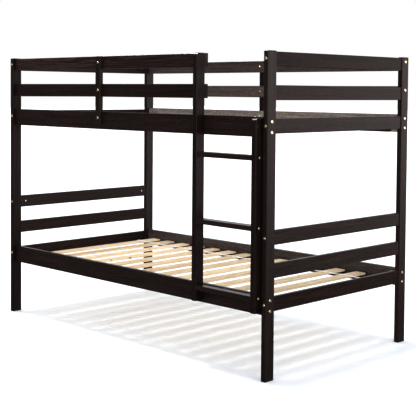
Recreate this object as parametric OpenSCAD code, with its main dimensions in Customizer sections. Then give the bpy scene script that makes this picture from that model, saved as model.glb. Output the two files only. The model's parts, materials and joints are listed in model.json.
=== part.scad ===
// Twin-over-twin bunk bed with a fixed ladder, in solid timber.
// +X runs along the bed towards the ladder, -Y is the ladder side, +Z is up.
// The origin is on the floor, under the middle of the whole bed, ladder included.

/* [Bed] */
// Overall length over the posts
bed_l = 1980; // [1900:10:2080]
// Overall width over the posts, without the ladder
bed_w = 1080; // [1000:10:1180]
// Height of the corner posts
post_h = 1464; // [1464:2:1500]

/* [Timber] */
// Thickness of a post along the bed
post_x = 26; // [26:1:32]
// Depth of a post across the bed
post_y = 56; // [54:1:66]
// Thickness of the side and guard rails
rail_t = 20; // [20:1:24]
// Height of the side rails
rail_h = 91; // [88:1:96]
// Thickness of the end boards
end_t = 18; // [18:1:22]
// Height of the guard rails and end boards
board_h = 66; // [64:1:70]
// Rounding of the long edges
edge_r = 2.5; // [1:0.5:3.5]
// Rounding of the top edges of the posts and stiles
tip_r = 5; // [3:0.5:6]

/* [Heights] */
// Top edge of the upper side rails
upper_rail_top = 1173; // [1170:1:1176]
// Top edge of the lower side rails
lower_rail_top = 382; // [370:1:390]
// Rise from a side rail to a guard rail, and from guard rail to guard rail
guard_pitch = 144; // [142:1:145]
// Top edge of the lowest upper end board
upper_end_top = 1164; // [1162:1:1166]
// Top edge of the lowest lower end board
lower_end_top = 374; // [362:1:378]
// Rise from end board to end board
end_pitch = 148; // [146:1:149]

/* [Guard supports] */
// Width of the vertical guard supports
support_w = 39; // [36:1:50]
// Thickness of the vertical guard supports
support_t = 20; // [18:1:24]
// Place of the front support along the bed
front_support_x = -189; // [-300:1:100]
// Place of the back support along the bed
back_support_x = 0; // [-300:1:300]

/* [Ladder] */
// Width of a stile, seen from the front
stile_w = 27; // [26:1:32]
// Depth of a stile in front of the rails
stile_d = 52; // [52:1:60]
// Distance from the right post to the middle of the right stile
stile_inset = 24; // [22:1:26]
// Distance between the middles of the two stiles
stile_span = 373; // [340:1:420]
// Height of the stiles' lower ends
stile_bottom = 304; // [292:1:312]
// Rounding of a stile's top corner at the front
nose_r = 16; // [8:1:20]
// Height of the left stile's top
left_stile_top = 1462; // [1458:1:1464]
// Height of the right stile's top
right_stile_top = 1166; // [1160:1:1170]
// Thickness of a tread
tread_t = 22; // [20:1:24]
// Depth of a tread
tread_d = 50; // [46:1:52]
// Height of the lowest tread's top
first_tread_top = 378; // [374:1:384]
// Rise from tread to tread
tread_pitch = 312; // [300:1:316]

/* [Slat decks] */
// Width of a slat
slat_w = 65; // [55:1:75]
// Thickness of a slat
slat_t = 10; // [8:1:12]
// Gap between a slat's end and the side rail
slat_end_gap = 13; // [8:1:16]
// Distance from slat to slat
slat_pitch = 134.3; // [130:0.1:135]
// How far the loose decks lie towards the ladder end
deck_offset = 7; // [0:1:10]
// Depth of the slats' top face below the side rail's top edge
slat_drop = 49; // [45:1:52]
// Thickness of a ledger strip
ledger_t = 25; // [22:1:30]
// Width of a webbing strap
strap_w = 20; // [15:1:25]
// Thickness of a webbing strap
strap_t = 1.2; // [1:0.1:2]
// Distance of a strap from the middle of the bed
strap_y = 355; // [300:5:400]

/* [Fasteners] */
// Radius of a bolt shank
bolt_r = 3; // [2.5:0.1:3]
// Radius of a bolt head
bolt_head_r = 7.5; // [6.5:0.1:8]
// Thickness of a bolt head
bolt_head_t = 2.6; // [2:0.1:3]
// Radius of a barrel nut
barrel_r = 5; // [4.5:0.1:5]
// Distance from a board's end to its barrel nut
barrel_in = 36; // [34:1:40]
// Radius of a wooden dowel
dowel_r = 4; // [3:0.5:4]
// Length of a wooden dowel
dowel_l = 30; // [28:1:32]
// Screws in one ledger strip
screw_count = 6; // [4:1:8]

/* [Hidden] */
$fn = 48;
LOWER_SLATS = ["lower_slat_01", "lower_slat_02", "lower_slat_03", "lower_slat_04", "lower_slat_05",
    "lower_slat_06", "lower_slat_07", "lower_slat_08", "lower_slat_09", "lower_slat_10",
    "lower_slat_11", "lower_slat_12", "lower_slat_13", "lower_slat_14"];
slat_count = len(LOWER_SLATS);

espresso = [0.13, 0.09, 0.085];
pine = [0.92, 0.82, 0.64];
webbing = [0.95, 0.95, 0.95];
brass = [0.83, 0.69, 0.38];

// Clearances and small machining sizes
fit = 0.2;
over = 1;
bolt_fit = 0.5;
nut_fit = 0.1;
bolt_past_nut = 8;
bore_past_nut = 10;
barrel_l_rail = 15;
barrel_l_end = 13;
slot_w = 1.2;
slot_d = 1.6;
socket_af = 4;
socket_d = 3;

// Middle planes of the posts, rails and end boards
post_cx = bed_l / 2 - post_x / 2;
post_cy = bed_w / 2 - post_y / 2;
inner_x = bed_l / 2 - post_x;
inner_y = bed_w / 2 - post_y;
rail_face = post_cy + rail_t / 2;
rail_back = post_cy - rail_t / 2;

// Reach of the bed to the front and to the back, and the shift that centres it on the origin
front_reach = rail_face + stile_d;
back_reach = rail_face + support_t + bolt_head_t;
shift_y = (front_reach - back_reach) / 2;

// Heights of the middles of the side rails, guard rails and end boards
upper_rail_z = upper_rail_top - rail_h / 2;
lower_rail_z = lower_rail_top - rail_h / 2;
guard_z = [for (i = [1, 2]) upper_rail_top + i * guard_pitch - board_h / 2];
upper_end_z = [for (i = [0:2]) upper_end_top + i * end_pitch - board_h / 2];
lower_end_z = [for (i = [0:2]) lower_end_top + i * end_pitch - board_h / 2];

// Bolts: two in each side rail's end, one in each guard rail's and bolted end board's end
rail_bolt_dz = 24;
guard_bolt_dz = 12;
guard_dowel_dz = -15;
end_dowel_dz = 20;
rail_bolt_z = [for (z = [upper_rail_z, lower_rail_z]) for (s = [-1, 1]) z + s * rail_bolt_dz];
guard_bolt_z = [for (z = guard_z) z + guard_bolt_dz];
end_bolt_z = [upper_end_z[0], upper_end_z[2], lower_end_z[0], lower_end_z[2]];
end_dowel_z = [for (z = end_bolt_z) z - end_dowel_dz];
pair_dowel_z = [for (z = [upper_end_z[1], lower_end_z[1]]) for (s = [-1, 1]) z + s * end_dowel_dz];
rail_bolt_l = post_x + barrel_in + bolt_past_nut;
end_bolt_l = post_y + barrel_in + bolt_past_nut;

// Dowels stand shallow in the posts and deeper in the boards
dowel_in_post = 12;
dowel_in_board = dowel_l - dowel_in_post;

// Guard supports
support_z = (guard_z[1] + guard_z[0] - guard_pitch) / 2;
support_h = 2 * guard_pitch + board_h - 2;
support_hole_z = [for (i = [-1:1]) guard_z[0] + i * guard_pitch];
support_bolt_l = 30;
sleeve_r = 4.5;
sleeve_l = 16;

// Ladder
right_stile_x = inner_x - stile_inset;
left_stile_x = right_stile_x - stile_span;
stile_y = -(rail_face + stile_d / 2);
guard_end_x = left_stile_x + stile_w / 2;
tread_l = stile_span - stile_w;
tread_y = -(rail_face + tread_d / 2);
tread_x = (left_stile_x + right_stile_x) / 2;
tread_z = [for (i = [0:2]) first_tread_top + i * tread_pitch - tread_t / 2];
tread_barrel_in = 34;
tread_bolt_l = stile_w + tread_barrel_in + bolt_past_nut;
tread_dowel_dy = 15;
ladder_bolt_in = 32;
ladder_bolt_l = rail_t + ladder_bolt_in + bolt_past_nut;
low_ladder_bolt_z = lower_rail_z + 10;
left_ladder_bolt_z = [guard_z[1], guard_z[0], upper_rail_z, low_ladder_bolt_z];
right_ladder_bolt_z = [upper_rail_z, low_ladder_bolt_z];

// Slat decks and ledgers
slat_l = 2 * (rail_back - slat_end_gap);
ledger_h = rail_h - slat_drop - slat_t;
ledger_l = 2 * inner_x - 98;
ledger_y = rail_back - ledger_t / 2;
deck_l = (slat_count - 1) * slat_pitch + slat_w;
screw_dz = 12;
screw_r = 1.8;
screw_head_r = 4.4;
screw_head_t = 3;
sink = (screw_head_r - screw_r) / screw_head_t;
cross_w = 0.9;
cross_l = 5;
cross_d = 1.6;
screw_l = ledger_t + 15;
screw_span = ledger_l - 50;
screw_x = [for (i = [0:screw_count - 1]) -screw_span / 2 + i * screw_span / (screw_count - 1)];

// Moves a piece from the middle of the bed frame to the part's own origin
module placed() {
    translate([0, shift_y, 0]) children();
}

// Rectangle with rounded corners
module rounded(w, h, r) {
    square([w - 2 * r, h], center = true);
    square([w, h - 2 * r], center = true);
    for (sx = [-1, 1], sy = [-1, 1])
        translate([sx * (w / 2 - r), sy * (h / 2 - r)]) circle(r = r);
}

// Bar along X, with its four long edges rounded
module bar_x(l, w, h) {
    rotate([90, 0, 90]) linear_extrude(height = l, center = true) rounded(w, h, edge_r);
}

// Bar along Y, with its four long edges rounded
module bar_y(l, w, h) {
    rotate([90, 0, 0]) linear_extrude(height = l, center = true) rounded(w, h, edge_r);
}

// Outline of an upright seen from one side, its top corners rounded and its foot square
module upright_side(w, h) {
    translate([-w / 2, 0]) square([w, h - tip_r]);
    translate([-w / 2 + tip_r, 0]) square([w - 2 * tip_r, h]);
    for (s = [-1, 1]) translate([s * (w / 2 - tip_r), h - tip_r]) circle(r = tip_r);
}

// Upright that stands on z = 0: rounded long edges, and a top eased on all four sides
module upright(w, d, h) {
    intersection() {
        linear_extrude(height = h) rounded(w, d, edge_r);
        rotate([90, 0, 0]) linear_extrude(height = d + 2 * over, center = true) upright_side(w, h);
        rotate([90, 0, 90]) linear_extrude(height = w + 2 * over, center = true) upright_side(d, h);
    }
}

// Outline of a stile seen from its side: a round nose at the top of the front, which is the low side
module stile_side(d, h) {
    translate([-d / 2, 0]) square([d, h - nose_r]);
    translate([-d / 2 + nose_r, 0]) square([d - nose_r - tip_r, h]);
    translate([-d / 2 + nose_r, 0]) square([d - nose_r, h - tip_r]);
    translate([-d / 2 + nose_r, h - nose_r]) circle(r = nose_r);
    translate([d / 2 - tip_r, h - tip_r]) circle(r = tip_r);
}

// Ladder stile without its holes, standing on z = 0
module stile_blank(w, d, h) {
    intersection() {
        linear_extrude(height = h) rounded(w, d, edge_r);
        rotate([90, 0, 0]) linear_extrude(height = d + 2 * over, center = true) upright_side(w, h);
        rotate([90, 0, 90]) linear_extrude(height = w + 2 * over, center = true) stile_side(d, h);
    }
}

// Cylinder that starts at the origin and runs along a direction given by its name
module rod(dir, r, l) {
    turn = dir == "+X" ? [0, 90, 0] : dir == "-X" ? [0, -90, 0]
        : dir == "+Y" ? [-90, 0, 0] : dir == "-Y" ? [90, 0, 0] : [0, 0, 0];
    rotate(turn) cylinder(r = r, h = l);
}

// Hole through a piece of thickness t that is centred on the origin
module through(dir, r, t) {
    start = -t / 2 - over;
    translate(dir == "+X" ? [start, 0, 0] : dir == "+Y" ? [0, start, 0] : [0, 0, start])
        rod(dir, r, t + 2 * over);
}

// Holes in the end of a board along X at x: the bolt bore, and the barrel nut bore from the inner face.
// s is the side of the end, and face is the side that the barrel nut goes in from.
module rail_end_holes(s, face, x, t) {
    translate([x + s * over, 0, 0])
        rod(s > 0 ? "-X" : "+X", bolt_r + bolt_fit, barrel_in + bore_past_nut + over);
    translate([x - s * barrel_in, face * (t / 2 + over), 0])
        rod(face > 0 ? "-Y" : "+Y", barrel_r + fit, t / 2 + barrel_l_rail / 2 + fit + over);
}

// The same in the end of an end board, which runs along Y
module board_end_holes(s, face, y, t) {
    translate([0, y + s * over, 0])
        rod(s > 0 ? "-Y" : "+Y", bolt_r + bolt_fit, barrel_in + bore_past_nut + over);
    translate([face * (t / 2 + over), y - s * barrel_in, 0])
        rod(face > 0 ? "-X" : "+X", barrel_r + fit, t / 2 + barrel_l_end / 2 + fit + over);
}

// Corner post. sx and sy give the corner, and guards says whether guard rails meet it.
module post(sx, sy, guards) {
    placed() translate([sx * post_cx, sy * post_cy, 0]) difference() {
        upright(post_x, post_y, post_h);
        for (z = concat(rail_bolt_z, guards ? guard_bolt_z : []))
            translate([0, 0, z]) through("+X", bolt_r + bolt_fit, post_x);
        for (z = end_bolt_z)
            translate([0, 0, z]) through("+Y", bolt_r + bolt_fit, post_y);
        for (z = guards ? guard_z : [])
            translate([-sx * (post_x / 2 + over), 0, z + guard_dowel_dz])
                rod(sx > 0 ? "+X" : "-X", dowel_r + fit, dowel_in_post + fit + over);
        for (z = concat(end_dowel_z, pair_dowel_z))
            translate([0, -sy * (post_y / 2 + over), z])
                rod(sy > 0 ? "+Y" : "-Y", dowel_r + fit, dowel_in_post + fit + over);
    }
}

// Side rail between two posts, bored for its end bolts and its ledger screws. Each item of holes
// is the place, height and radius of one more bore through it.
module side_rail(sy, z, holes) {
    placed() translate([0, sy * post_cy, z]) difference() {
        bar_x(2 * inner_x, rail_t, rail_h);
        for (s = [-1, 1], dz = [-rail_bolt_dz, rail_bolt_dz])
            translate([0, 0, dz]) rail_end_holes(s, -sy, s * inner_x, rail_t);
        for (x = screw_x)
            translate([x, -sy * (rail_t / 2 + over), screw_dz - rail_h / 2])
                rod(sy > 0 ? "+Y" : "-Y", screw_r + fit, screw_l - ledger_t + over + fit);
        for (hole = holes)
            translate([hole[0], 0, hole[1]]) through("+Y", hole[2], rail_t);
    }
}

// Guard rail from the left post to x1, bored for its end fastenings and for its support
module guard_rail(sy, z, x1, support_x, at_post) {
    mid = (x1 - inner_x) / 2;
    placed() translate([0, sy * post_cy, z]) difference() {
        translate([mid, 0, 0]) bar_x(x1 + inner_x, rail_t, board_h);
        for (s = at_post ? [-1, 1] : [-1]) {
            translate([0, 0, guard_bolt_dz]) rail_end_holes(s, -sy, s * inner_x, rail_t);
            translate([s * (inner_x + over), 0, guard_dowel_dz])
                rod(s > 0 ? "-X" : "+X", dowel_r + fit, dowel_in_board + fit + over);
        }
        translate([support_x, 0, 0]) through("+Y", sleeve_r + fit, rail_t);
        if (!at_post)
            translate([left_stile_x, 0, 0]) through("+Y", bolt_r + bolt_fit, rail_t);
    }
}

// Vertical board that ties the guard rails to the side rail, on their outer faces
module guard_support(sy, x) {
    placed() translate([x, sy * (rail_face + support_t / 2), support_z]) difference() {
        linear_extrude(height = support_h, center = true) rounded(support_w, support_t, edge_r);
        for (z = support_hole_z)
            translate([0, 0, z - support_z]) through("+Y", bolt_r + bolt_fit, support_t);
    }
}

// End board between the front and back posts. A bolted board has one bolt and one dowel in each end.
module end_board(sx, z, bolted) {
    placed() translate([sx * post_cx, 0, z]) difference() {
        bar_y(2 * inner_y, end_t, board_h);
        if (bolted)
            for (s = [-1, 1]) board_end_holes(s, -sx, s * inner_y, end_t);
        for (s = [-1, 1], dz = bolted ? [-end_dowel_dz] : [-end_dowel_dz, end_dowel_dz])
            translate([0, s * (inner_y + over), dz])
                rod(s > 0 ? "-Y" : "+Y", dowel_r + fit, dowel_in_board + fit + over);
    }
}

// Ledger strip on the inner face of a side rail whose bottom edge is at z
module ledger(sy, z) {
    placed() translate([0, sy * ledger_y, z + ledger_h / 2]) difference() {
        bar_x(ledger_l, ledger_t, ledger_h);
        for (x = screw_x) translate([x, 0, screw_dz - ledger_h / 2]) {
            through("+Y", screw_r + fit, ledger_t);
            translate([0, -sy * (ledger_t / 2 + fit), 0]) rotate([sy > 0 ? -90 : 90, 0, 0])
                cylinder(r1 = screw_head_r + fit + sink * fit, r2 = screw_r + fit, h = screw_head_t + fit);
        }
    }
}

// Ladder stile. s is the side of its outer face, and nut_z the heights of its fixings to the bed.
module stile(s, x, top, nut_z, treads) {
    placed() difference() {
        translate([x, stile_y, stile_bottom]) stile_blank(stile_w, stile_d, top - stile_bottom);
        for (z = nut_z) {
            translate([x, -(rail_face - over), z])
                rod("-Y", bolt_r + bolt_fit, ladder_bolt_in + bore_past_nut + over);
            translate([x + s * (stile_w / 2 + over), -(rail_face + ladder_bolt_in), z])
                rod(s > 0 ? "-X" : "+X", barrel_r + fit, stile_w / 2 + barrel_l_rail / 2 + fit + over);
        }
        for (z = treads) {
            translate([x, tread_y, z]) through("+X", bolt_r + bolt_fit, stile_w);
            for (dy = [-tread_dowel_dy, tread_dowel_dy])
                translate([x - s * (stile_w / 2 + over), tread_y + dy, z])
                    rod(s > 0 ? "+X" : "-X", dowel_r + fit, dowel_in_post + fit + over);
        }
    }
}

// Ladder tread between the stiles
module tread(z) {
    placed() translate([tread_x, tread_y, z]) difference() {
        bar_x(tread_l, tread_d, tread_t);
        for (s = [-1, 1]) {
            translate([s * (tread_l / 2 + over), 0, 0])
                rod(s > 0 ? "-X" : "+X", bolt_r + bolt_fit, tread_barrel_in + bore_past_nut + over);
            translate([s * (tread_l / 2 - tread_barrel_in), 0, -tread_t / 2 - over])
                rod("+Z", barrel_r + fit, tread_t / 2 + barrel_l_rail / 2 + fit + over);
            for (dy = [-tread_dowel_dy, tread_dowel_dy])
                translate([s * (tread_l / 2 + over), dy, 0])
                    rod(s > 0 ? "-X" : "+X", dowel_r + fit, dowel_in_board + fit + over);
        }
    }
}

// Slat i of a deck, whose side rails' top edge is at rail_top
module slat(i, rail_top) {
    x = deck_offset - deck_l / 2 + slat_w / 2 + i * slat_pitch;
    placed() translate([x, 0, rail_top - slat_drop - slat_t / 2])
        bar_y(slat_l, slat_w, slat_t);
}

// Two straps that lie along a deck, over its slats
module straps(rail_top) {
    placed() for (s = [-1, 1])
        translate([deck_offset, s * strap_y, rail_top - slat_drop + strap_t / 2])
            cube([deck_l - 6, strap_w, strap_t], center = true);
}

// Bolt along +Z from the origin down to -l, with a low head and a hexagon socket
module bolt(l) {
    difference() {
        rotate_extrude() polygon([[0, -l], [bolt_r - 0.5, -l], [bolt_r, -l + 0.8], [bolt_r, 0],
            [bolt_head_r, 0], [bolt_head_r, bolt_head_t * 0.45], [bolt_head_r * 0.82, bolt_head_t],
            [0, bolt_head_t]]);
        translate([0, 0, bolt_head_t - socket_d])
            cylinder(r = socket_af / 2 / cos(30), h = socket_d + over, $fn = 6);
    }
}

// Bolt with its head on a face that looks along dir
module bolt_facing(dir, l) {
    rotate(dir == "+X" ? [0, 90, 0] : dir == "-X" ? [0, -90, 0] : dir == "+Y" ? [-90, 0, 0] : [90, 0, 0])
        bolt(l);
}

// Barrel nut along Z, centred: a cross bore for the bolt, along X or Y, and a screwdriver slot in its face
module barrel_nut(l, cross) {
    difference() {
        cylinder(r = barrel_r, h = l, center = true);
        through(cross, bolt_r + nut_fit, 2 * barrel_r);
        translate([0, 0, l / 2]) cube([cross == "+X" ? 2 * barrel_r + over : slot_w,
            cross == "+X" ? slot_w : 2 * barrel_r + over, 2 * slot_d], center = true);
    }
}

// Sleeve nut for a support bolt: a flange on the rail's inner face and a sleeve in the rail
module sleeve_nut() {
    difference() {
        rotate_extrude() polygon([[bolt_r + nut_fit, -sleeve_l], [sleeve_r, -sleeve_l], [sleeve_r, 0],
            [bolt_head_r, 0], [bolt_head_r, bolt_head_t * 0.45], [bolt_head_r * 0.82, bolt_head_t],
            [bolt_r + nut_fit, bolt_head_t]]);
        translate([0, 0, bolt_head_t]) cube([2 * bolt_head_r + over, slot_w, 2 * slot_d], center = true);
    }
}

// Countersunk ledger screw along +Z with a cross recess, its head flush with the origin
module ledger_screw() {
    difference() {
        rotate_extrude() polygon([[0, -screw_l], [screw_r * 0.3, -screw_l], [screw_r, -screw_l + 5],
            [screw_r, -screw_head_t], [screw_head_r, 0], [0, 0]]);
        cube([cross_l, cross_w, 2 * cross_d], center = true);
        cube([cross_w, cross_l, 2 * cross_d], center = true);
    }
}

// Dowel along a direction, reaching dowel_in_post one way and dowel_in_board the other
module dowel(dir) {
    rotate(dir == "+X" ? [0, 90, 0] : dir == "-X" ? [0, -90, 0] : dir == "+Y" ? [-90, 0, 0] : [90, 0, 0])
        translate([0, 0, -dowel_in_board]) cylinder(r = dowel_r, h = dowel_l);
}

module post_front_left() { color(espresso) post(-1, -1, true); }
module post_front_right() { color(espresso) post(1, -1, false); }
module post_back_left() { color(espresso) post(-1, 1, true); }
module post_back_right() { color(espresso) post(1, 1, true); }

module upper_side_rail_front() {
    bore = bolt_r + bolt_fit;
    color(espresso) side_rail(-1, upper_rail_z,
        [[front_support_x, support_hole_z[0] - upper_rail_z, sleeve_r + fit],
        [left_stile_x, 0, bore], [right_stile_x, 0, bore]]);
}
module upper_side_rail_back() {
    color(espresso) side_rail(1, upper_rail_z,
        [[back_support_x, support_hole_z[0] - upper_rail_z, sleeve_r + fit]]);
}
module lower_side_rail_front() {
    dz = low_ladder_bolt_z - lower_rail_z;
    bore = bolt_r + bolt_fit;
    color(espresso) side_rail(-1, lower_rail_z, [[left_stile_x, dz, bore], [right_stile_x, dz, bore]]);
}
module lower_side_rail_back() { color(espresso) side_rail(1, lower_rail_z, []); }

module guard_top_rail_front() {
    color(espresso) guard_rail(-1, guard_z[1], guard_end_x, front_support_x, false);
}
module guard_middle_rail_front() {
    color(espresso) guard_rail(-1, guard_z[0], guard_end_x, front_support_x, false);
}
module guard_top_rail_back() { color(espresso) guard_rail(1, guard_z[1], inner_x, back_support_x, true); }
module guard_middle_rail_back() { color(espresso) guard_rail(1, guard_z[0], inner_x, back_support_x, true); }
module guard_support_front() { color(espresso) guard_support(-1, front_support_x); }
module guard_support_back() { color(espresso) guard_support(1, back_support_x); }

module upper_end_rail(sx) { color(espresso) end_board(sx, upper_end_z[0], true); }
module upper_middle_slat(sx) { color(espresso) end_board(sx, upper_end_z[1], false); }
module upper_top_slat(sx) { color(espresso) end_board(sx, upper_end_z[2], true); }
module lower_end_rail(sx) { color(espresso) end_board(sx, lower_end_z[0], true); }
module lower_head_slat(sx) { color(espresso) end_board(sx, lower_end_z[1], false); }
module lower_head_top_slat(sx) { color(espresso) end_board(sx, lower_end_z[2], true); }

module upper_ledger(sy) { color(espresso) ledger(sy, upper_rail_top - rail_h); }
module lower_ledger(sy) { color(espresso) ledger(sy, lower_rail_top - rail_h); }

module ladder_stile_left() {
    color(espresso) stile(-1, left_stile_x, left_stile_top, left_ladder_bolt_z, tread_z);
}
module ladder_stile_right() {
    color(espresso) stile(1, right_stile_x, right_stile_top, right_ladder_bolt_z, tread_z);
}
module ladder_tread(i) { color(espresso) tread(tread_z[i]); }

module lower_slat(i) { color(pine) slat(i, lower_rail_top); }
module lower_straps() { color(webbing) straps(lower_rail_top); }
module upper_slats() { color(pine) for (i = [0:slat_count - 1]) slat(i, upper_rail_top); }
module upper_straps() { color(webbing) straps(upper_rail_top); }

// Bolts through the posts into the side and guard rails, and through the stiles into the treads
module rail_bolts() {
    color(brass) placed() {
        for (sx = [-1, 1], sy = [-1, 1], z = concat(rail_bolt_z, sx > 0 && sy < 0 ? [] : guard_bolt_z))
            translate([sx * bed_l / 2, sy * post_cy, z]) bolt_facing(sx > 0 ? "+X" : "-X", rail_bolt_l);
        for (z = tread_z) {
            translate([left_stile_x - stile_w / 2, tread_y, z]) bolt_facing("-X", tread_bolt_l);
            translate([right_stile_x + stile_w / 2, tread_y, z]) bolt_facing("+X", tread_bolt_l);
        }
    }
}

// Bolts through the posts into the end boards
module end_bolts() {
    color(brass) placed() for (sx = [-1, 1], sy = [-1, 1], z = end_bolt_z)
        translate([sx * post_cx, sy * bed_w / 2, z]) bolt_facing(sy > 0 ? "+Y" : "-Y", end_bolt_l);
}

// Bolts through the guard supports
module support_bolts() {
    color(brass) placed() for (z = support_hole_z) {
        translate([front_support_x, -(rail_face + support_t), z]) bolt_facing("-Y", support_bolt_l);
        translate([back_support_x, rail_face + support_t, z]) bolt_facing("+Y", support_bolt_l);
    }
}

// Sleeve nuts on the inner faces of the rails, on the support bolts
module support_nuts() {
    color(brass) placed() for (z = support_hole_z) {
        translate([front_support_x, -rail_back, z]) rotate([-90, 0, 0]) sleeve_nut();
        translate([back_support_x, rail_back, z]) rotate([90, 0, 0]) sleeve_nut();
    }
}

// Bolts from inside the rails into the ladder stiles
module ladder_bolts() {
    color(brass) placed() {
        for (z = left_ladder_bolt_z)
            translate([left_stile_x, -rail_back, z]) bolt_facing("+Y", ladder_bolt_l);
        for (z = right_ladder_bolt_z)
            translate([right_stile_x, -rail_back, z]) bolt_facing("+Y", ladder_bolt_l);
    }
}

// A barrel nut for each rail, end board, stile and tread bolt
module barrel_nuts() {
    color(brass) placed() {
        for (sx = [-1, 1], sy = [-1, 1]) {
            for (z = concat(rail_bolt_z, sx > 0 && sy < 0 ? [] : guard_bolt_z))
                translate([sx * (inner_x - barrel_in), sy * post_cy, z])
                    rotate([sy > 0 ? 90 : -90, 0, 0]) barrel_nut(barrel_l_rail, "+X");
            for (z = end_bolt_z)
                translate([sx * post_cx, sy * (inner_y - barrel_in), z])
                    rotate([0, sx > 0 ? -90 : 90, 0]) barrel_nut(barrel_l_end, "+Y");
        }
        for (z = left_ladder_bolt_z)
            translate([left_stile_x, -(rail_face + ladder_bolt_in), z])
                rotate([0, -90, 0]) barrel_nut(barrel_l_rail, "+Y");
        for (z = right_ladder_bolt_z)
            translate([right_stile_x, -(rail_face + ladder_bolt_in), z])
                rotate([0, 90, 0]) barrel_nut(barrel_l_rail, "+Y");
        for (z = tread_z, s = [-1, 1])
            translate([tread_x + s * (tread_l / 2 - tread_barrel_in), tread_y, z])
                rotate([180, 0, 0]) barrel_nut(barrel_l_rail, "+X");
    }
}

// Wooden dowels in the ends of the guard rails, end boards and treads
module dowels() {
    color(pine) placed() {
        for (sx = [-1, 1], sy = [-1, 1]) {
            if (sx < 0 || sy > 0)
                for (z = guard_z) translate([sx * inner_x, sy * post_cy, z + guard_dowel_dz])
                    dowel(sx > 0 ? "+X" : "-X");
            for (z = concat(end_dowel_z, pair_dowel_z))
                translate([sx * post_cx, sy * inner_y, z]) dowel(sy > 0 ? "+Y" : "-Y");
        }
        for (z = tread_z, s = [-1, 1], dy = [-tread_dowel_dy, tread_dowel_dy])
            translate([tread_x + s * tread_l / 2, tread_y + dy, z]) dowel(s > 0 ? "+X" : "-X");
    }
}

// Screws that hold the ledgers to the side rails
module ledger_screws() {
    color(brass) placed()
        for (sy = [-1, 1], rail_top = [upper_rail_top, lower_rail_top], x = screw_x)
            translate([x, sy * (rail_back - ledger_t), rail_top - rail_h + screw_dz])
                rotate([sy > 0 ? 90 : -90, 0, 0]) ledger_screw();
}

post_front_left();
post_front_right();
post_back_left();
post_back_right();
upper_side_rail_front();
upper_side_rail_back();
lower_side_rail_front();
lower_side_rail_back();
guard_top_rail_front();
guard_middle_rail_front();
guard_top_rail_back();
guard_middle_rail_back();
guard_support_front();
guard_support_back();
upper_end_rail(-1);  // upper_end_rail_left
upper_middle_slat(-1);  // upper_middle_slat_left
upper_top_slat(-1);  // upper_top_slat_left
upper_end_rail(1);  // upper_end_rail_right
upper_middle_slat(1);  // upper_middle_slat_right
upper_top_slat(1);  // upper_top_slat_right
lower_end_rail(-1);  // lower_end_rail_left
lower_head_slat(-1);  // lower_head_slat_left
lower_head_top_slat(-1);  // lower_head_top_slat_left
lower_end_rail(1);  // lower_end_rail_right
lower_head_slat(1);  // lower_head_slat_right
lower_head_top_slat(1);  // lower_head_top_slat_right
upper_ledger(-1);  // upper_ledger_front
upper_ledger(1);  // upper_ledger_back
lower_ledger(-1);  // lower_ledger_front
lower_ledger(1);  // lower_ledger_back
ladder_stile_left();
ladder_stile_right();
ladder_tread(0);  // ladder_tread_1
ladder_tread(1);  // ladder_tread_2
ladder_tread(2);  // ladder_tread_3
for (i = [0:slat_count - 1]) lower_slat(i);
lower_straps();
upper_slats();
upper_straps();
rail_bolts();
end_bolts();
support_bolts();
support_nuts();
ladder_bolts();
barrel_nuts();
dowels();
ledger_screws();
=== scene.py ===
"""Looks of the bunk bed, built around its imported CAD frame."""

import json
import math
import random

import bmesh
import bpy
from mathutils import Matrix, Vector


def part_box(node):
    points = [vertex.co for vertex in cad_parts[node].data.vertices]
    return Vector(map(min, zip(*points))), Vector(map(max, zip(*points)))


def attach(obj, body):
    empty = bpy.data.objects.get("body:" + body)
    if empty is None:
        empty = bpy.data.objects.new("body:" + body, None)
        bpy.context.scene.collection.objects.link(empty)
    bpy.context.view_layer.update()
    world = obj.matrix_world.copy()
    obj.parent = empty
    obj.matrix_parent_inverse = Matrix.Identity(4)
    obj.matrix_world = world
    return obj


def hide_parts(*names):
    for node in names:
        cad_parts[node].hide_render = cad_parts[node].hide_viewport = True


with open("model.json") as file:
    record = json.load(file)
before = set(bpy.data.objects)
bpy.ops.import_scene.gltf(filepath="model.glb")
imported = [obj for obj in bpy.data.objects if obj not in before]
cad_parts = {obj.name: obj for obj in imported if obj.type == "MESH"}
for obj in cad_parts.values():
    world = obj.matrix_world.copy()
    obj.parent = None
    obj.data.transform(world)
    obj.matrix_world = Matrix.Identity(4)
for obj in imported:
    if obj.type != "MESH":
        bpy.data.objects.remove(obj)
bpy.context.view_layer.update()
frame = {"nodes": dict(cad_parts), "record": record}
scene = bpy.context.scene

# Millimetres in a metre: meshes are built in metres, and materials are drawn in millimetres
MM = 1000.0


# ---------------------------------------------------------------- camera

def make_camera():
    """Camera off the ladder corner, turned 45 degrees and nearly level, with a downward shift."""
    data = bpy.data.cameras.new("camera")
    data.sensor_width = 36
    data.lens = 86.18
    data.shift_x = 0
    data.shift_y = -0.18
    data.clip_end = 200
    cam = bpy.data.objects.new("camera", data)
    scene.collection.objects.link(cam)
    place = (3.8789, -3.7796, 1.2799)
    heading, pitch, roll = 0.785733, 0.041351, 0.007665
    turn = (Matrix.Rotation(heading, 4, "Z") @ Matrix.Rotation(math.pi / 2 - pitch, 4, "X")
            @ Matrix.Rotation(roll, 4, "Z"))
    cam.matrix_world = Matrix.Translation(place) @ turn
    scene.camera = cam


# ---------------------------------------------------------------- node helpers

def add(tree, kind, inputs=None, **props):
    """Adds a node, sets its properties, and sets or links its inputs by name or number."""
    n = tree.nodes.new(kind)
    for k, v in props.items():
        setattr(n, k, v)
    for k, v in (inputs or {}).items():
        if isinstance(v, bpy.types.NodeSocket):
            tree.links.new(v, n.inputs[k])
        else:
            n.inputs[k].default_value = v
    return n


def calc(tree, op, a, b=0.0, c=0.0, clamp=False):
    """A Math node's result."""
    return add(tree, "ShaderNodeMath", {0: a, 1: b, 2: c}, operation=op, use_clamp=clamp).outputs[0]


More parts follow.
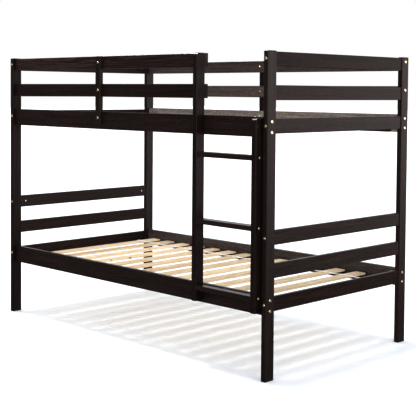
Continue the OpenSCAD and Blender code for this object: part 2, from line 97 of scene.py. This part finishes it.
def vec(tree, op, a, b=(0, 0, 0), result="Vector"):
    """A Vector Math node's result, a vector unless it is asked for its Value."""
    return add(tree, "ShaderNodeVectorMath", {0: a, 1: b}, operation=op).outputs[result]


def length(tree, v):
    return vec(tree, "LENGTH", v, result="Value")


def dot(tree, a, b):
    return vec(tree, "DOT_PRODUCT", a, b, result="Value")


def split(tree, v):
    """The x, y and z of a vector."""
    return add(tree, "ShaderNodeSeparateXYZ", {0: v}).outputs


def join(tree, x=0.0, y=0.0, z=0.0):
    """The vector with this x, y and z."""
    return add(tree, "ShaderNodeCombineXYZ", {0: x, 1: y, 2: z}).outputs[0]


def grey(tree, value):
    """One value three times, as a colour."""
    return join(tree, value, value, value)


def ramp(tree, x, lo, hi, to_lo=0.0, to_hi=1.0, smooth=True):
    """Maps x from lo..hi to to_lo..to_hi, clamped."""
    return add(tree, "ShaderNodeMapRange", {"Value": x, "From Min": lo, "From Max": hi,
               "To Min": to_lo, "To Max": to_hi},
               interpolation_type="SMOOTHSTEP" if smooth else "LINEAR").outputs["Result"]


def mix(tree, fac, a, b):
    """Blends from colour a to colour b. Each may be a socket or three numbers."""
    n = add(tree, "ShaderNodeMix", data_type="RGBA", blend_type="MIX")
    for socket, value in ((n.inputs["Factor"], fac), (n.inputs[6], a), (n.inputs[7], b)):
        if isinstance(value, bpy.types.NodeSocket):
            tree.links.new(value, socket)
        else:
            socket.default_value = value if isinstance(value, float) else (*value, 1)
    return n.outputs[2]


def noise(tree, p, stretch, seed=0.0, detail=2.0, rough=0.5, output="Fac"):
    """4D noise over p, with its own seed. stretch is how many spots there are to one unit of p, on each
    of its axes."""
    at = vec(tree, "MULTIPLY", p, stretch)
    return add(tree, "ShaderNodeTexNoise", {"Vector": at, "W": seed, "Scale": 1.0, "Detail": detail,
               "Roughness": rough}, noise_dimensions="4D").outputs[output]


def metres(tree):
    """A piece's own coordinates: the frame's while it is at rest, and they move with it."""
    return add(tree, "ShaderNodeTexCoord").outputs["Object"]


def millimetres(tree):
    return vec(tree, "MULTIPLY", metres(tree), (MM, MM, MM))


def material(name):
    mat = bpy.data.materials.new(name)
    mat.use_nodes = True
    mat.node_tree.nodes.clear()
    return mat, mat.node_tree


def finish_material(tree, sockets):
    """Adds the Principled shader with these inputs, and the output."""
    bsdf = add(tree, "ShaderNodeBsdfPrincipled", sockets)
    add(tree, "ShaderNodeOutputMaterial", {"Surface": bsdf.outputs[0]})


def bump(tree, height, strength, distance):
    return add(tree, "ShaderNodeBump", {"Height": height, "Strength": strength,
               "Distance": distance}).outputs["Normal"]


# ---------------------------------------------------------------- growth rings, in any wood

def growth_rings(tree, p, heart, spacing, seed):
    """Late wood, 0 to 1, of rings round a heart line that runs along the grain, and the wandering
    coordinates that the fibres follow too."""
    wander = noise(tree, p, (0.011, 0.011, 0.0021), seed + 3.1, 2.0, 0.5, "Color")
    wander = vec(tree, "MULTIPLY", vec(tree, "SUBTRACT", wander, (0.5, 0.5, 0.5)), (34, 34, 0))
    q = vec(tree, "ADD", p, wander)
    off = vec(tree, "MULTIPLY", vec(tree, "SUBTRACT", q, (*heart, 0)), (1, 1, 0))
    radius = length(tree, off)
    uneven = noise(tree, p, (0.02, 0.02, 0.001), seed + 8.7, 1.0)
    years = calc(tree, "ADD", calc(tree, "DIVIDE", radius, spacing), calc(tree, "MULTIPLY", uneven, 2.2))
    season = calc(tree, "FRACT", years)
    late = calc(tree, "MULTIPLY", ramp(tree, season, 0.25, 0.9), ramp(tree, season, 0.93, 1.0, 1.0, 0.0))
    return late, q


# ---------------------------------------------------------------- dark boards

STAIN_DARK = (0.0100, 0.0059, 0.0053)
STAIN_WARM = (0.0315, 0.019, 0.0162)
STAIN_ON_LATE_WOOD = (0.052, 0.030, 0.024)
STAIN_BLOTCH = (0.020, 0.0125, 0.0115)
STAIN_IN_PORES = (0.005, 0.003, 0.003)
INNER_LIGHT_DARK = (0.29, 0.25, 0.24)
INNER_LIGHT_PALE = (0.42, 0.365, 0.35)
WORN_EDGE_AND_HIGHLIGHT = (0.085, 0.058, 0.046)

# Stain tone and painted light and shade at a board's two ends, the left or lower one first, where it isn't
# plain: how much lighter or darker the board is painted there, partly for its stain and partly for light
# and shade that fall on it
STAIN_TONE_AND_PAINTED_LIGHT = {
    "guard_top_rail_front": (1.9, 1.2), "guard_middle_rail_front": (1.0, 0.8),
    "upper_top_slat_right": (0.85, 0.85),
    "post_front_left": (0.65, 0.8), "post_front_right": (0.85, 1.0),
    "ladder_stile_left": (0.7, 0.75), "ladder_stile_right": (0.65, 0.8),
}
# How strongly the lacquer reflects, where it isn't the usual
USUAL_SHEEN = 0.33
SHEEN = {
    "guard_middle_rail_front": 0.28, "upper_side_rail_front": 0.28,
    "upper_top_slat_right": 0.17, "upper_middle_slat_right": 0.23, "upper_end_rail_right": 0.27,
    "lower_head_top_slat_right": 0.27, "lower_head_slat_right": 0.27, "lower_end_rail_right": 0.1,
    "lower_head_top_slat_left": 0.25, "lower_head_slat_left": 0.22, "lower_end_rail_left": 0.25,
    "post_front_left": 0.24, "post_back_right": 0.25,
    "ladder_stile_left": 0.28, "ladder_stile_right": 0.22,
}
# How strongly the inner face of a back rail is painted paler and mottled: painted light on that face
PAINTED_LIGHT_ON_INNER_FACES = {
    "guard_top_rail_back": 0.24, "guard_middle_rail_back": 0.35,
    "upper_side_rail_back": 1.0, "lower_side_rail_back": 0.3,
}


def grain_space(tree, axis, centre):
    """Board coordinates in millimetres: two across the grain, then one along it."""
    rel = vec(tree, "SUBTRACT", metres(tree), tuple(centre))
    rel = vec(tree, "MULTIPLY", rel, (MM, MM, MM))
    x, y, z = split(tree, rel)
    return join(tree, *{"x": (y, z, x), "y": (x, z, y), "z": (x, y, z)}[axis])


def edge_wear_and_highlight(tree, radius, patches):
    """Where an edge is painted lighter, both as rubbed wear and as a painted highlight: close to a sharp
    edge, in patches.
    """
    soft = add(tree, "ShaderNodeBevel", {"Radius": radius}, samples=4).outputs[0]
    flat = add(tree, "ShaderNodeNewGeometry").outputs["Normal"]
    edge = ramp(tree, calc(tree, "SUBTRACT", 1.0, dot(tree, soft, flat)), 0.004, 0.09)
    return calc(tree, "MULTIPLY", edge, patches)


def paint_inner_light(tree, p, col, band, seed, pale, face):
    """Blends a pale, mottled painted light over col near y = face, the inner face of a back rail."""
    y = split(tree, metres(tree))[1]
    inner = ramp(tree, y, face + 0.0003, face + 0.002, pale, 0.0)
    mottle = noise(tree, p, (0.16, 0.16, 0.05), seed + 31.0, 4.0, 0.7)
    painted_light = calc(tree, "MULTIPLY", inner, ramp(tree, mottle, 0.3, 0.7, 0.35, 1.1, smooth=False), clamp=True)
    return mix(tree, painted_light, col, mix(tree, band, INNER_LIGHT_DARK, INNER_LIGHT_PALE))


def espresso(node, seed):
    """Pine under a near-black espresso stain and a satin lacquer, for one board, with the grain along its
    longest side."""
    lo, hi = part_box(node)
    size = hi - lo
    longest = max(range(3), key=lambda i: size[i])
    mat, t = material(f"espresso_{node}")
    rng = random.Random(seed)
    p = grain_space(t, "xyz"[longest], (lo + hi) / 2)
    heart = (rng.choice((-1, 1)) * rng.uniform(28, 60), rng.choice((-1, 1)) * rng.uniform(20, 90))
    late, q = growth_rings(t, p, heart, rng.uniform(4.2, 6.5), seed * 1.37)
    band = ramp(t, noise(t, q, (0.07, 0.07, 0.0026), seed * 0.71, 3.0, 0.6), 0.34, 0.7)
    fibre = noise(t, q, (1.3, 1.3, 0.018), seed * 0.53 + 9, 3.0, 0.65)
    blotch = ramp(t, noise(t, p, (0.02, 0.02, 0.006), seed * 0.29 + 4, 3.0, 0.6), 0.3, 0.72)
    pore = ramp(t, noise(t, q, (0.9, 0.9, 0.05), seed + 21.0, 1.0, 0.5), 0.66, 0.78)

    luck = rng.uniform(0.90, 1.06)
    dark = tuple(c * luck for c in STAIN_DARK)
    warm = tuple(c * luck for c in STAIN_WARM)
    col = mix(t, band, dark, warm)
    col = mix(t, calc(t, "MULTIPLY", late, 0.55), col, STAIN_ON_LATE_WOOD)
    col = mix(t, calc(t, "MULTIPLY", blotch, 0.35), col, STAIN_BLOTCH)
    col = mix(t, calc(t, "MULTIPLY", pore, 0.6), col, STAIN_IN_PORES)
    streak = ramp(t, fibre, 0.2, 0.8, 0.72, 1.28, smooth=False)
    # Painted light and shade as well as stain tone: the board is painted lighter or darker from one end to
    # the other
    if node in STAIN_TONE_AND_PAINTED_LIGHT:
        along = split(t, p)[2]
        half = MM * size[longest] / 2
        streak = calc(t, "MULTIPLY", streak, ramp(t, along, -half, half, *STAIN_TONE_AND_PAINTED_LIGHT[node]))
    col = vec(t, "MULTIPLY", col, grey(t, streak))
    # Painted light: the inner face of a back rail is painted paler and mottled, as if lit
    if node in PAINTED_LIGHT_ON_INNER_FACES:
        col = paint_inner_light(t, p, col, band, seed, PAINTED_LIGHT_ON_INNER_FACES[node], lo.y)
    patches = ramp(t, noise(t, p, (0.03, 0.03, 0.009), seed + 2.0, 3.0, 0.6), 0.4, 0.75, 0.12, 0.75)
    # Edges painted lighter: partly rubbed wear, partly a painted highlight along them
    col = mix(t, edge_wear_and_highlight(t, 0.0022, patches), col, WORN_EDGE_AND_HIGHLIGHT)

    rough = calc(t, "ADD", ramp(t, fibre, 0.2, 0.8, 0.22, 0.36), calc(t, "MULTIPLY", pore, 0.1))
    height = calc(t, "ADD", calc(t, "MULTIPLY", fibre, 0.7), calc(t, "MULTIPLY", late, 0.35))
    height = calc(t, "SUBTRACT", height, calc(t, "MULTIPLY", pore, 0.5))
    finish_material(t, {"Base Color": col, "Roughness": rough,
                        "Specular IOR Level": SHEEN.get(node, USUAL_SHEEN),
                        "Normal": bump(t, height, 0.4, 0.0004)})
    return mat


# ---------------------------------------------------------------- slats and dowels

PINE_PALE = (0.88, 0.765, 0.59)
PINE_HONEY = (0.81, 0.65, 0.455)
PINE_LATE_WOOD = (0.66, 0.44, 0.235)
PINE_RESIN = (0.50, 0.30, 0.14)
PINE_KNOT = (0.20, 0.095, 0.04)
BEECH_DEEP = (0.62, 0.43, 0.25)
BEECH_PALE = (0.74, 0.56, 0.36)
BEECH_FLECK = (0.36, 0.21, 0.11)


def slat_space(tree, x0, pitch, width, z_split):
    """Slat coordinates in millimetres, across, through and along, and a number for each slat. x0 is the
    first slat's edge, and z_split a height between the two decks."""
    x, y, z = split(tree, metres(tree))
    edge = x0 - (pitch - width) / 2
    turn = calc(tree, "DIVIDE", calc(tree, "SUBTRACT", x, edge), pitch)
    index = calc(tree, "FLOOR", turn)
    across = calc(tree, "MULTIPLY", calc(tree, "SUBTRACT", calc(tree, "FRACT", turn), 0.5), pitch * MM)
    upper = calc(tree, "GREATER_THAN", z, z_split)
    number = calc(tree, "ADD", index, calc(tree, "MULTIPLY", upper, 40.0))
    through = calc(tree, "MULTIPLY", z, MM)
    along = calc(tree, "MULTIPLY", y, MM)
    return join(tree, across, through, along), number


def knots(tree, board):
    """Oval knots, one here and there along a slat: where they are, 0 to 1, and how many millimetres the
    grain is pushed aside round them."""
    cell = vec(tree, "MULTIPLY", board, (0.0135, 0.0, 0.0032))
    vor = add(tree, "ShaderNodeTexVoronoi", {"Vector": cell, "Scale": 1.0, "Randomness": 1.0},
              voronoi_dimensions="3D", feature="F1")
    away = vec(tree, "MULTIPLY", vec(tree, "SUBTRACT", cell, vor.outputs["Position"]), (74.0, 0.0, 190.0))
    dist = length(tree, away)
    pick = add(tree, "ShaderNodeSeparateColor", {0: vor.outputs["Color"]}).outputs[0]
    chosen = calc(tree, "GREATER_THAN", pick, 0.86)
    knot = calc(tree, "MULTIPLY", ramp(tree, dist, 4.5, 7.5, 1.0, 0.0), chosen)
    push = calc(tree, "MULTIPLY", ramp(tree, dist, 4.0, 34.0, 9.0, 0.0), chosen)
    return knot, push


def pine():
    """Bare planed pine: a different board for every slat, with rings, fibres, knots and resin streaks."""
    mat, t = material("pine_slats")
    first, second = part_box("lower_slat_01"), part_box("lower_slat_02")
    z_split = (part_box("lower_slat_01")[1].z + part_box("upper_slats")[0].z) / 2
    p, number = slat_space(t, first[0].x, second[0].x - first[0].x, first[1].x - first[0].x, z_split)
    luck = add(t, "ShaderNodeTexWhiteNoise", {"W": number}, noise_dimensions="1D").outputs["Color"]
    side_luck, depth_luck, shade_luck = add(t, "ShaderNodeSeparateColor", {0: luck}).outputs
    # where each board was cut from its tree, in millimetres from the heart line
    side = calc(t, "MULTIPLY", calc(t, "SUBTRACT", side_luck, 0.5), 130.0)
    depth = calc(t, "ADD", calc(t, "MULTIPLY", depth_luck, 55.0), 12.0)
    board = vec(t, "ADD", p, join(t, side, depth, calc(t, "MULTIPLY", number, 731.0)))
    knot, push = knots(t, board)
    bent = vec(t, "ADD", board, join(t, push, push))

    late, q = growth_rings(t, bent, (0.0, 0.0), 3.4, 5.0)
    fibre = noise(t, q, (1.6, 1.6, 0.022), 3.0, 3.0, 0.65)
    band = ramp(t, noise(t, q, (0.05, 0.05, 0.002), 7.0, 2.0, 0.5), 0.35, 0.68)
    resin = ramp(t, noise(t, q, (0.5, 0.5, 0.012), 13.0, 2.0, 0.5), 0.70, 0.80)
    col = mix(t, band, PINE_PALE, PINE_HONEY)
    col = mix(t, calc(t, "MULTIPLY", late, 0.5), col, PINE_LATE_WOOD)
    col = mix(t, calc(t, "MULTIPLY", resin, 0.3), col, PINE_RESIN)
    col = mix(t, calc(t, "MULTIPLY", knot, 0.65), col, PINE_KNOT)
    shade = ramp(t, shade_luck, 0.0, 1.0, 0.88, 1.06, smooth=False)
    streak = calc(t, "MULTIPLY", ramp(t, fibre, 0.2, 0.8, 0.93, 1.05, smooth=False), shade)
    col = vec(t, "MULTIPLY", col, grey(t, streak))
    rough = ramp(t, fibre, 0.2, 0.8, 0.55, 0.72)
    height = calc(t, "ADD", calc(t, "MULTIPLY", fibre, 0.6), calc(t, "MULTIPLY", late, 0.5))
    finish_material(t, {"Base Color": col, "Roughness": rough, "IOR": 1.45,
                        "Normal": bump(t, height, 0.5, 0.0005)})
    return mat


def beech():
    """Compressed beech of the dowels: pale, with short dark flecks."""
    mat, t = material("dowel_wood")
    at = millimetres(t)
    grain = noise(t, at, (0.6, 0.6, 0.6), 1.0, 4.0, 0.7)
    fleck = ramp(t, noise(t, at, (1.7, 1.7, 1.7), 6.0, 1.0), 0.64, 0.72)
    col = mix(t, ramp(t, grain, 0.3, 0.7), BEECH_DEEP, BEECH_PALE)
    col = mix(t, calc(t, "MULTIPLY", fleck, 0.5), col, BEECH_FLECK)
    finish_material(t, {"Base Color": col, "Roughness": ramp(t, grain, 0.3, 0.7, 0.55, 0.7),
                        "Normal": bump(t, grain, 0.3, 0.0003)})
    return mat


# ---------------------------------------------------------------- metal and webbing

BRASS_PALE = (0.95, 0.87, 0.64)
BRASS_DEEP = (0.88, 0.75, 0.47)
ZINC_PALE = (0.80, 0.80, 0.78)
ZINC_DEEP = (0.66, 0.65, 0.62)
WEBBING_VALLEY_SHADE = (0.84, 0.84, 0.84)
WEBBING_PALE = (0.95, 0.95, 0.95)
WEBBING_SOIL = (0.60, 0.57, 0.51)


def plated(name, pale, deep, rough_lo, rough_hi):
    """Plated steel: slightly uneven colour, fine tool marks and a few dull spots."""
    mat, t = material(name)
    at = millimetres(t)
    cloud = noise(t, at, (0.22, 0.22, 0.22), 2.0, 3.0, 0.6)
    marks = noise(t, at, (6.0, 0.9, 6.0), 5.0, 2.0, 0.6)
    dull = ramp(t, noise(t, at, (0.7, 0.7, 0.7), 11.0, 2.0, 0.6), 0.6, 0.72)
    col = mix(t, ramp(t, cloud, 0.35, 0.65), pale, deep)
    col = mix(t, calc(t, "MULTIPLY", dull, 0.35), col, tuple(c * 0.55 for c in deep))
    rough = calc(t, "ADD", ramp(t, marks, 0.3, 0.7, rough_lo, rough_hi), calc(t, "MULTIPLY", dull, 0.18))
    finish_material(t, {"Base Color": col, "Metallic": 1.0, "Roughness": rough,
                        "Normal": bump(t, marks, 0.15, 0.0001)})
    return mat


def webbing():
    """White polypropylene webbing: ribs along it, crossed by the weft, slightly soiled, with painted shade
    in the weave's valleys.
    """
    rib_pitch = 1.7
    weft_pitch = 1.5
    mat, t = material("webbing")
    at = millimetres(t)
    x, y, _ = split(t, at)
    rib = calc(t, "SINE", calc(t, "MULTIPLY", y, 2 * math.pi / rib_pitch))
    row = calc(t, "FLOOR", calc(t, "DIVIDE", y, rib_pitch / 2))
    stagger = calc(t, "MULTIPLY", calc(t, "MODULO", row, 2.0), math.pi)
    weft = calc(t, "SINE", calc(t, "ADD", calc(t, "MULTIPLY", x, 2 * math.pi / weft_pitch), stagger))
    weave = calc(t, "MULTIPLY", calc(t, "ADD", calc(t, "ADD", rib, weft), 2.0), 0.25)
    fuzz = noise(t, at, (3.0, 3.0, 3.0), 4.0, 3.0, 0.7)
    soil = ramp(t, noise(t, at, (0.03, 0.08, 0.08), 9.0, 3.0, 0.6), 0.45, 0.8)
    # Painted shade: the weave's low valleys are painted grey
    col = mix(t, ramp(t, weave, 0.0, 0.6), WEBBING_VALLEY_SHADE, WEBBING_PALE)
    col = mix(t, calc(t, "MULTIPLY", soil, 0.25), col, WEBBING_SOIL)
    height = calc(t, "ADD", weave, calc(t, "MULTIPLY", fuzz, 0.2))
    finish_material(t, {"Base Color": col, "Roughness": ramp(t, fuzz, 0.3, 0.7, 0.6, 0.8),
                        "Sheen Weight": 0.25, "Sheen Roughness": 0.4,
                        "Normal": bump(t, height, 0.4, 0.0004)})
    return mat


# ---------------------------------------------------------------- mesh helpers

def make_object(name, bm):
    """Turns a bmesh into an object in the scene."""
    mesh = bpy.data.meshes.new(name)
    bm.to_mesh(mesh)
    bm.free()
    obj = bpy.data.objects.new(name, mesh)
    scene.collection.objects.link(obj)
    return obj


def square_to(path, i):
    """The direction square to a flat path at its point i, to the left of the way it runs."""
    a, b = path[max(i - 1, 0)], path[min(i + 1, len(path) - 1)]
    d = math.hypot(b[0] - a[0], b[1] - a[1])
    return -(b[1] - a[1]) / d, (b[0] - a[0]) / d


def skin(bm, rings):
    """Joins rings of vertices into a closed tube with flat ends."""
    for r0, r1 in zip(rings, rings[1:]):
        for k in range(len(r0)):
            m = (k + 1) % len(r0)
            bm.faces.new((r0[k], r0[m], r1[m], r1[k]))
    bm.faces.new(rings[0][::-1])
    bm.faces.new(rings[-1])


# ---------------------------------------------------------------- straps

STRAP_W = 0.020
STRAP_T = 0.0011
STRAP_SAG = 0.0024
STRAP_STEP = 0.005
STRAP_COLUMNS = 24
STRAP_RIBS = 6
# The share of a strap's half width that is rounded
SELVEDGE = 0.06
HEM = 0.024
# Radius of a hem's fold, with a hair of air between its two layers
FOLD = STRAP_T / 2 + 0.00005
FOLD_STEPS = 6


def slat_spans():
    """The two edges along X of each slat of a deck; both decks have the same."""
    names = sorted(n for n in frame["nodes"] if n.startswith("lower_slat_"))
    return [(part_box(n)[0].x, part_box(n)[1].x) for n in names]


def strap_height(x, spans):
    """Height of a strap over the slats' tops at x: 0 on a slat, and below 0 where it sags between two."""
    for (_, a), (b, _) in zip(spans, spans[1:]):
        if a < x < b:
            q = (x - a) / (b - a)
            return -STRAP_SAG * 4 * q * (1 - q)
    return 0.0


def hem_path(x_end, side, bed):
    """Centre line (x, z) of a hem, from its cut edge through the fold at the strap's end, x_end. side is 1
    at the deck's right end and -1 at its left, and bed the height of the strap's lower layer."""
    layer = [(x_end - side * d, bed + 2 * FOLD) for d in (HEM, HEM * 0.75, HEM * 0.5, HEM * 0.25, FOLD)]
    angles = [math.pi * k / FOLD_STEPS for k in range(1, FOLD_STEPS)]
    bend = [(x_end - side * FOLD + side * FOLD * math.sin(a), bed + FOLD + FOLD * math.cos(a))
            for a in angles]
    return layer + bend


def strap_path(x_lo, x_hi, top, spans):
    """Centre line (x, z) of a strap: a hem folded back on the first slat, the length of the deck, and a
    hem on the last slat."""
    bed = top + STRAP_T / 2
    n = int((x_hi - x_lo) / STRAP_STEP)
    xs = [x_lo + FOLD + (x_hi - x_lo - 2 * FOLD) * i / n for i in range(n + 1)]
    body = [(x, bed + strap_height(x, spans)) for x in xs]
    return hem_path(x_lo, -1, bed) + body + hem_path(x_hi, 1, bed)[::-1]


def half_thickness(u):
    """Half a strap's thickness at u, from -1 to 1 across it: low ribs, and a rounded selvedge."""
    edge = 1.0
    if abs(u) > 1 - SELVEDGE:
        edge = math.sqrt(max(0.0, 1 - ((abs(u) - (1 - SELVEDGE)) / SELVEDGE) ** 2))
    return STRAP_T / 2 * edge * (0.9 + 0.1 * math.cos(u * math.pi * STRAP_RIBS))


def ribbon(name, path, y):
    """Closed woven band along a path in XZ, with its middle at y."""
    over = [-1 + 2 * c / STRAP_COLUMNS for c in range(STRAP_COLUMNS + 1)]
    outline = [(u, 1) for u in over] + [(u, -1) for u in over[-2:0:-1]]
    bm = bmesh.new()
    rings = []
    for i, (x, z) in enumerate(path):
        nx, nz = square_to(path, i)
        ring = []
        for u, face in outline:
            h = face * half_thickness(u)
            ring.append(bm.verts.new((x + nx * h, y + u * STRAP_W / 2, z + nz * h)))
        rings.append(ring)
    skin(bm, rings)
    bmesh.ops.recalc_face_normals(bm, faces=bm.faces)
    obj = make_object(name, bm)
    for f in obj.data.polygons:
        f.use_smooth = len(f.vertices) == 4
    return obj


# ---------------------------------------------------------------- staples

# Between the middles of a staple's legs, and down one leg
CROWN = 0.011
LEG = 0.007
# Radius of a staple's two bends, and the crown's slight camber
BEND = 0.0011
CAMBER = 0.00008
# The flat wire, and its cut corners
WIRE_W = 0.0013
WIRE_T = 0.0007
WIRE_BEVEL = 0.00018
# Height of the wire's middle above the strap
CROWN_LIFT = 0.00042
# From a slat's edge to a staple: usually, on an end slat where the hem is, and on its other side
INSET = 0.013
INSET_HEM = 0.012
INSET_INNER = 0.015


def staple_path():
    """Centre line (across, up) of a staple, from one leg's point over the crown to the other's."""
    half = [(-CROWN / 2, -LEG), (-CROWN / 2, -BEND)]
    half += [(-CROWN / 2 + BEND - BEND * math.cos(a), -BEND + BEND * math.sin(a)) for a in (0.5, 1.05)]
    half += [(-CROWN / 2 + BEND, 0)]
    return half + [(0, CAMBER)] + [(-v, w) for v, w in half[::-1]]


def wire_outline():
    """Section of the flat wire, its corners cut."""
    outline = []
    for sx, sz in ((1, 1), (-1, 1), (-1, -1), (1, -1)):
        pts = [(sx * WIRE_W / 2, sz * (WIRE_T / 2 - WIRE_BEVEL)),
               (sx * (WIRE_W / 2 - WIRE_BEVEL), sz * WIRE_T / 2)]
        outline += pts if sx * sz > 0 else pts[::-1]
    return outline


def add_staple(bm, x, y, top, yaw):
    """One wire staple driven down through a strap, its crown across it."""
    path = staple_path()
    turn = Matrix.Translation((x, y, top)) @ Matrix.Rotation(yaw, 4, "Z")
    rings = []
    for i, (v, w) in enumerate(path):
        nv, nw = square_to(path, i)
        ring = [Vector((sx, v + nv * sz, w + nw * sz)) for sx, sz in wire_outline()]
        rings.append([bm.verts.new(turn @ corner) for corner in ring])
    skin(bm, rings)


def staple_places(spans):
    """Two to a slat: x, and how many layers of strap the staple goes through."""
    last = len(spans) - 1
    for i, (a, b) in enumerate(spans):
        if i == 0:
            yield a + INSET_HEM, 2
            yield b - INSET_INNER, 1
        elif i == last:
            yield a + INSET_INNER, 1
            yield b - INSET_HEM, 2
        else:
            yield a + INSET, 1
            yield b - INSET, 1


def deck_straps(deck, cloth, wire, seed):
    """The two straps of a deck, and the staples that hold each of them to every slat."""
    node = f"{deck}_straps"
    lo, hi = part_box(node)
    top = lo.z
    spans = slat_spans()
    rng = random.Random(seed)
    bm = bmesh.new()
    pieces = []
    for k, y in enumerate((lo.y + STRAP_W / 2, hi.y - STRAP_W / 2)):
        strap = ribbon(f"{deck}_strap_{k + 1}", strap_path(lo.x, hi.x, top, spans), y)
        strap.data.materials.append(cloth)
        pieces.append(strap)
        for x, layers in staple_places(spans):
            add_staple(bm, x + rng.uniform(-0.0015, 0.0015), y + rng.uniform(-0.0012, 0.0012),
                       top + STRAP_T * layers + CROWN_LIFT, rng.uniform(-0.09, 0.09))
    bmesh.ops.recalc_face_normals(bm, faces=bm.faces)
    staples = make_object(f"{deck}_staples", bm)
    staples.data.materials.append(wire)
    for piece in pieces:
        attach(piece, f"{deck}_deck")
        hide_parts(node)
    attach(staples, f"{deck}_deck")


# ---------------------------------------------------------------- materials of the CAD nodes

def paint_nodes():
    """Gives every CAD node its material, and returns those that nodes share."""
    shared = {"pine_slats": pine(), "dowel_wood": beech(), "webbing": webbing(),
              "brass_hardware": plated("brass_hardware", BRASS_PALE, BRASS_DEEP, 0.16, 0.28)}
    slots = {s["node"]: s["material_slot"] for s in frame["record"]["subparts"]}
    for seed, node in enumerate(sorted(frame["nodes"]), start=1):
        slot = slots[node]
        mat = espresso(node, seed) if slot == "espresso_wood" else shared[slot]
        for s in frame["nodes"][node].material_slots:
            s.material = mat
    return shared


# ---------------------------------------------------------------- stage and light

# x and y, but for the sign, of a level direction at 45 degrees
DIAGONAL = 0.7071
WHITE = (1, 1, 1, 1)


def make_stage():
    """White floor with a faint cool glow of its own, which lightens the shadow under the bed."""
    bm = bmesh.new()
    bmesh.ops.create_grid(bm, x_segments=2, y_segments=2, size=60)
    floor = make_object("floor", bm)
    mat, t = material("floor")
    finish_material(t, {"Base Color": (0.90, 0.90, 0.90, 1), "Roughness": 0.7, "Specular IOR Level": 0.1,
                        "Emission Color": (0.52, 0.70, 0.92, 1), "Emission Strength": 0.15})
    floor.data.materials.append(mat)
    floor.visible_glossy = False


def make_world():
    """Studio, as seen from the camera: white overhead and on the right, dimmer on the left, with a low
    screen behind the camera, a fainter one opposite, and a low panel on the right. White to look at."""
    world = bpy.data.worlds.new("studio")
    world.use_nodes = True
    t = world.node_tree
    t.nodes.clear()
    way = add(t, "ShaderNodeTexCoord").outputs["Generated"]
    height = split(t, way)[2]
    right = dot(t, way, (DIAGONAL, DIAGONAL, 0.0))
    near = dot(t, way, (DIAGONAL, -DIAGONAL, 0.0))

    walls = ramp(t, right, -0.8, 0.5, 0.22, 1.0)
    over = ramp(t, height, 0.3, 0.7)
    level = mix(t, over, grey(t, walls), (1.0, 1.02, 1.05))
    low = ramp(t, height, 0.25, 0.6, 1.0, 0.0)
    for side, brightness in ((near, 3.9), (calc(t, "MULTIPLY", near, -1.0), 1.35)):
        screen = calc(t, "MULTIPLY", ramp(t, side, 0.5, 0.9), low)
        level = mix(t, screen, level, tuple(brightness * c for c in (1.0, 1.01, 1.03)))
    level = mix(t, ramp(t, height, -0.1, 0.0, 1.0, 0.0), level, (0.2, 0.2, 0.2))
    panel = calc(t, "MULTIPLY", ramp(t, right, 0.55, 0.85), ramp(t, height, 0.04, 0.26, 1.0, 0.0))
    panel = calc(t, "MULTIPLY", panel, ramp(t, height, -0.18, -0.03))
    glow = mix(t, panel, level, (2.75, 2.6, 2.62))

    light = add(t, "ShaderNodeBackground", {"Color": glow, "Strength": 1.0})
    white = add(t, "ShaderNodeBackground", {"Color": WHITE, "Strength": 1.0})
    eye = add(t, "ShaderNodeLightPath").outputs["Is Camera Ray"]
    both = add(t, "ShaderNodeMixShader", {0: eye, 1: light.outputs[0], 2: white.outputs[0]})
    add(t, "ShaderNodeOutputWorld", {"Surface": both.outputs[0]})
    scene.world = world


def make_sun(name, toward, strength, angle, glint_only=False):
    """A distant softbox: toward is the direction from the bed to it, and angle how many degrees wide it
    looks. One that is glint_only shows in reflections and adds nothing to diffuse light."""
    data = bpy.data.lights.new(name, "SUN")
    data.energy = strength
    data.angle = math.radians(angle)
    sun = bpy.data.objects.new(name, data)
    sun.rotation_euler = Vector(toward).to_track_quat("Z", "Y").to_euler()
    sun.visible_diffuse = not glint_only
    scene.collection.objects.link(sun)


make_camera()
make_stage()
make_world()
make_sun("overhead", (-0.25, -0.03, 1.0), 1.12, 11)
make_sun("left", (-0.8, -0.55, 0.7), 0.2, 14)
make_sun("glint", (-0.72, 0.04, 0.70), 2.5, 6, glint_only=True)
scene.view_settings.view_transform = "Standard"
scene.view_settings.gamma = 0.7

looks = paint_nodes()
staple_wire = plated("staple_wire", ZINC_PALE, ZINC_DEEP, 0.22, 0.34)
deck_straps("lower", looks["webbing"], staple_wire, 11)
deck_straps("upper", looks["webbing"], staple_wire, 12)
